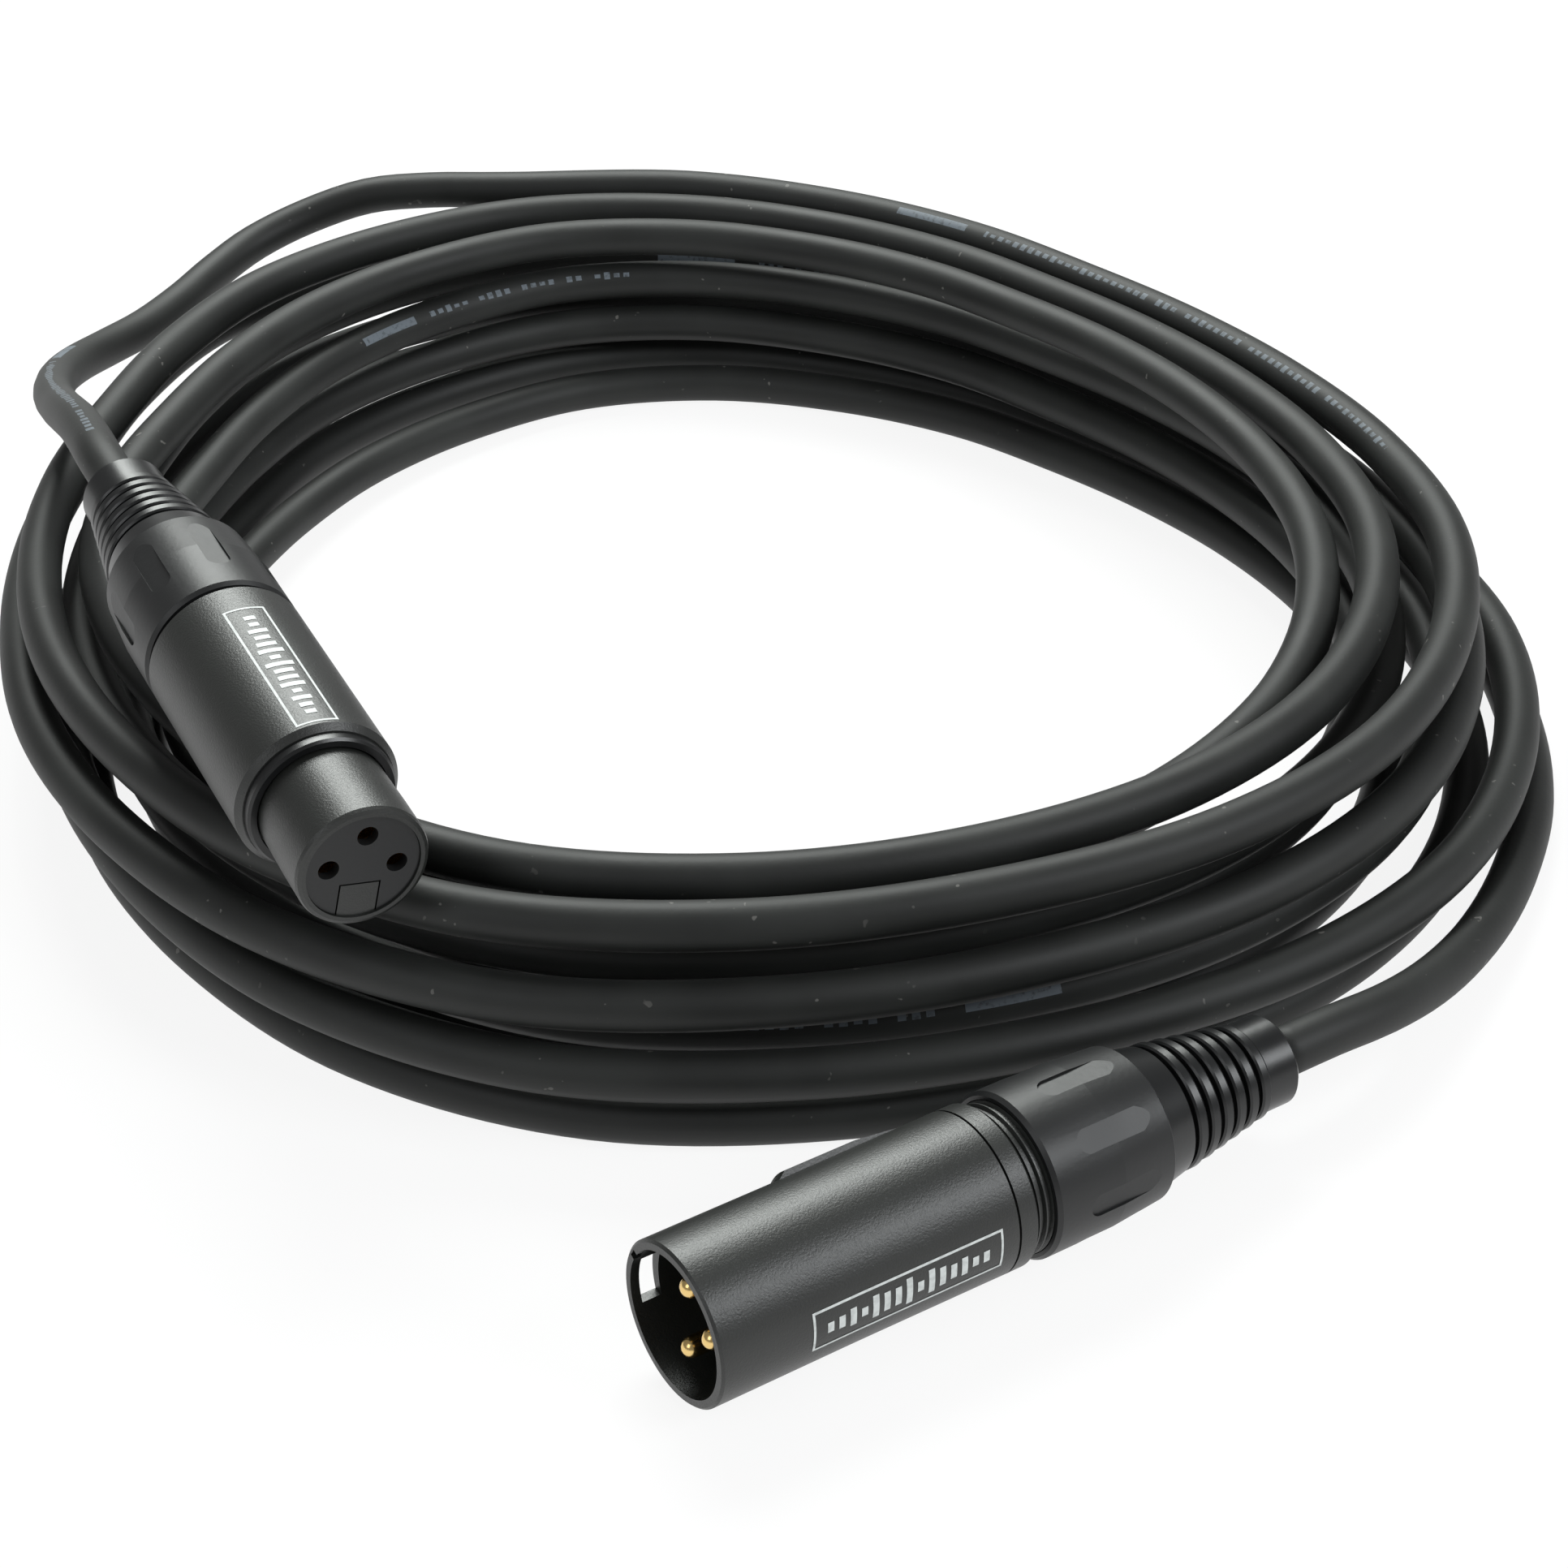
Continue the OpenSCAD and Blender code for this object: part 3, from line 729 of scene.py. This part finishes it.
def curved_patch(points, faces, place, radius, x0, x1, arc0, arc1):
    """Adds one patch just off a shell, between two lengths and two arcs in metres."""
    steps = max(1, math.ceil(abs(arc1 - arc0) / INK_STEP))
    stations = [x0, PLUG_BODY_X, x1] if x0 < PLUG_BODY_X < x1 else [x0, x1]
    wide = len(stations)
    first = len(points)
    for i in range(steps + 1):
        for x in stations:
            r = radius(x) + INK_LIFT
            angle = (arc0 + (arc1 - arc0) * i / steps) / r
            points.append(place @ Vector((x, -r * math.cos(angle), -r * math.sin(angle))))
    for i in range(steps):
        for j in range(wide - 1):
            a = first + wide * i + j
            faces.append((a, a + 1, a + wide + 1, a + wide))


def printed_box(name, place, radius, box, material):
    """Outlined box with a row of plain bars of uneven height, printed on a shell."""
    points, faces = [], []
    x0, x1, turn = box
    half, line = BOX_HALF_WIDTH, BOX_LINE
    centre = math.radians(turn) * radius(x0)

    def patch(from_x, to_x, from_arc, to_arc):
        arcs = centre + from_arc, centre + to_arc
        curved_patch(points, faces, place, radius, from_x, to_x, *arcs)

    patch(x0, x1, -half, -half + line)
    patch(x0, x1, half - line, half)
    patch(x0, x0 + line, -half + line, half - line)
    patch(x1 - line, x1, -half + line, half - line)
    pitch = (x1 - x0 - 2 * BOX_MARGIN) / BOX_BARS
    for i in range(BOX_BARS):
        swell = math.sin(math.pi * (i + 0.8) / (BOX_BARS + 0.6))
        tall = BOX_BAR_LOWEST + BOX_BAR_VARIATION * abs(math.sin(1.9 * i + 0.6)) * swell
        x = x0 + BOX_MARGIN + (i + 0.2) * pitch
        patch(x, x + BOX_BAR_WIDTH * pitch, -tall, tall)
    return mesh_piece(name, points, faces, material)


class CABLE_OT_printing(bpy.types.Operator):
    """Print the plain boxes on the two shells"""

    bl_idname = "cable.printing"
    bl_label = "Printed boxes"

    def execute(self, context):
        ink = white_ink(context.scene.connector_settings.ink[:])
        printed_box("plug_box", PLUG_PLACE, plug_radius, PLUG_BOX, ink)
        printed_box("socket_box", SOCKET_PLACE, socket_radius, SOCKET_BOX, ink)
        return {"FINISHED"}


# ---- Stage -------------------------------------------------------------------
def floor_white(colour):
    """White paper that shows shadows near the coil and plain white further out."""
    finish = Finish("floor_white")
    seen = finish.node("ShaderNodeLightPath", output="Is Camera Ray")
    shiny = finish.node("ShaderNodeLightPath", output="Is Glossy Ray")
    paper = finish.node("ShaderNodeBsdfDiffuse", sockets={"Color": (*colour, 1)})
    glow = finish.node(
        "ShaderNodeEmission", sockets={"Color": WHITE, "Strength": GLOW_STRENGTH}
    )
    distance = finish.node(
        "ShaderNodeVectorMath", {"operation": "LENGTH"}, {0: finish.place()}, output="Value"
    )
    share = GLOW_NEAR_COIL + distance.between(*GLOW_RISES) * (1 - GLOW_NEAR_COIL)
    amount = seen.maths("MAXIMUM", shiny) * share
    return finish.finish_with(
        finish.node("ShaderNodeMixShader", sockets={0: amount, 1: paper, 2: glow})
    )


def light_room(world, strength):
    """Even light from all round, seen as plain white by the camera and through glass."""
    room = Finish(world)
    seen = room.node("ShaderNodeLightPath", output="Is Camera Ray")
    through = room.node("ShaderNodeLightPath", output="Is Transmission Ray")
    shown = strength + seen.maths("MAXIMUM", through) * (1 - strength)
    back = room.node("ShaderNodeBackground", sockets={"Color": WHITE, "Strength": shown})
    room.node("ShaderNodeOutputWorld", sockets={"Surface": back})


def soft_lamp(name, place, size, power, colour):
    data = bpy.data.lights.new(name, "AREA")
    data.shape = "RECTANGLE"
    data.size, data.size_y = size
    data.energy = power
    data.color = colour
    lamp = bpy.data.objects.new(name, data)
    bpy.context.scene.collection.objects.link(lamp)
    lamp.location = place
    lamp.rotation_euler = (LAMPS_AIM - Vector(place)).to_track_quat("-Z", "Y").to_euler()


class CABLE_OT_stage(bpy.types.Operator):
    """Lay the floor, light the room and hang the soft lamps"""

    bl_idname = "cable.stage"
    bl_label = "Floor and lamps"

    def execute(self, context):
        settings = context.scene.stage_settings
        mesh = bpy.data.meshes.new("floor")
        side = FLOOR_HALF_SIDE
        mesh.from_pydata(
            [(-side, -side, 0), (side, -side, 0), (side, side, 0), (-side, side, 0)],
            [], [(0, 1, 2, 3)],
        )
        mesh.materials.append(floor_white(settings.floor[:]))
        floor = bpy.data.objects.new("floor", mesh)
        context.scene.collection.objects.link(floor)

        world = bpy.data.worlds.new("studio")
        context.scene.world = world
        light_room(world, settings.room)
        for name, place, size, power, colour in LAMPS:
            soft_lamp(name, place, size, power * settings.lamps, colour)
        return {"FINISHED"}


# ---- Panel and registration --------------------------------------------------
class CABLE_PT_panel(bpy.types.Panel):
    """Buttons and settings for the cable"""

    bl_idname = "CABLE_PT_panel"
    bl_label = "Coiled cable"
    bl_space_type = "VIEW_3D"
    bl_region_type = "UI"
    bl_category = "Cable"

    def draw(self, context):
        column = self.layout.column()
        for group in ("cable_settings", "connector_settings", "stage_settings"):
            settings = getattr(context.scene, group)
            for name in settings.__annotations__:
                column.prop(settings, name)
        for operator in OPERATORS:
            column.operator(operator.bl_idname)


SETTINGS = (CableSettings, ConnectorSettings, StageSettings)
OPERATORS = (
    CABLE_OT_camera,
    CABLE_OT_cable,
    CABLE_OT_shells,
    CABLE_OT_bushings,
    CABLE_OT_contacts,
    CABLE_OT_printing,
    CABLE_OT_stage,
)


def register():
    for item in SETTINGS + OPERATORS + (CABLE_PT_panel,):
        bpy.utils.register_class(item)
    bpy.types.Scene.cable_settings = PointerProperty(type=CableSettings)
    bpy.types.Scene.connector_settings = PointerProperty(type=ConnectorSettings)
    bpy.types.Scene.stage_settings = PointerProperty(type=StageSettings)


def unregister():
    del bpy.types.Scene.stage_settings
    del bpy.types.Scene.connector_settings
    del bpy.types.Scene.cable_settings
    for item in reversed(SETTINGS + OPERATORS + (CABLE_PT_panel,)):
        bpy.utils.unregister_class(item)


def main():
    register()
    bpy.context.scene.view_settings.view_transform = "Standard"
    for operator in OPERATORS:
        group, name = operator.bl_idname.split(".")
        getattr(getattr(bpy.ops, group), name)()
    bpy.context.view_layer.update()


if __name__ == "__main__":
    main()
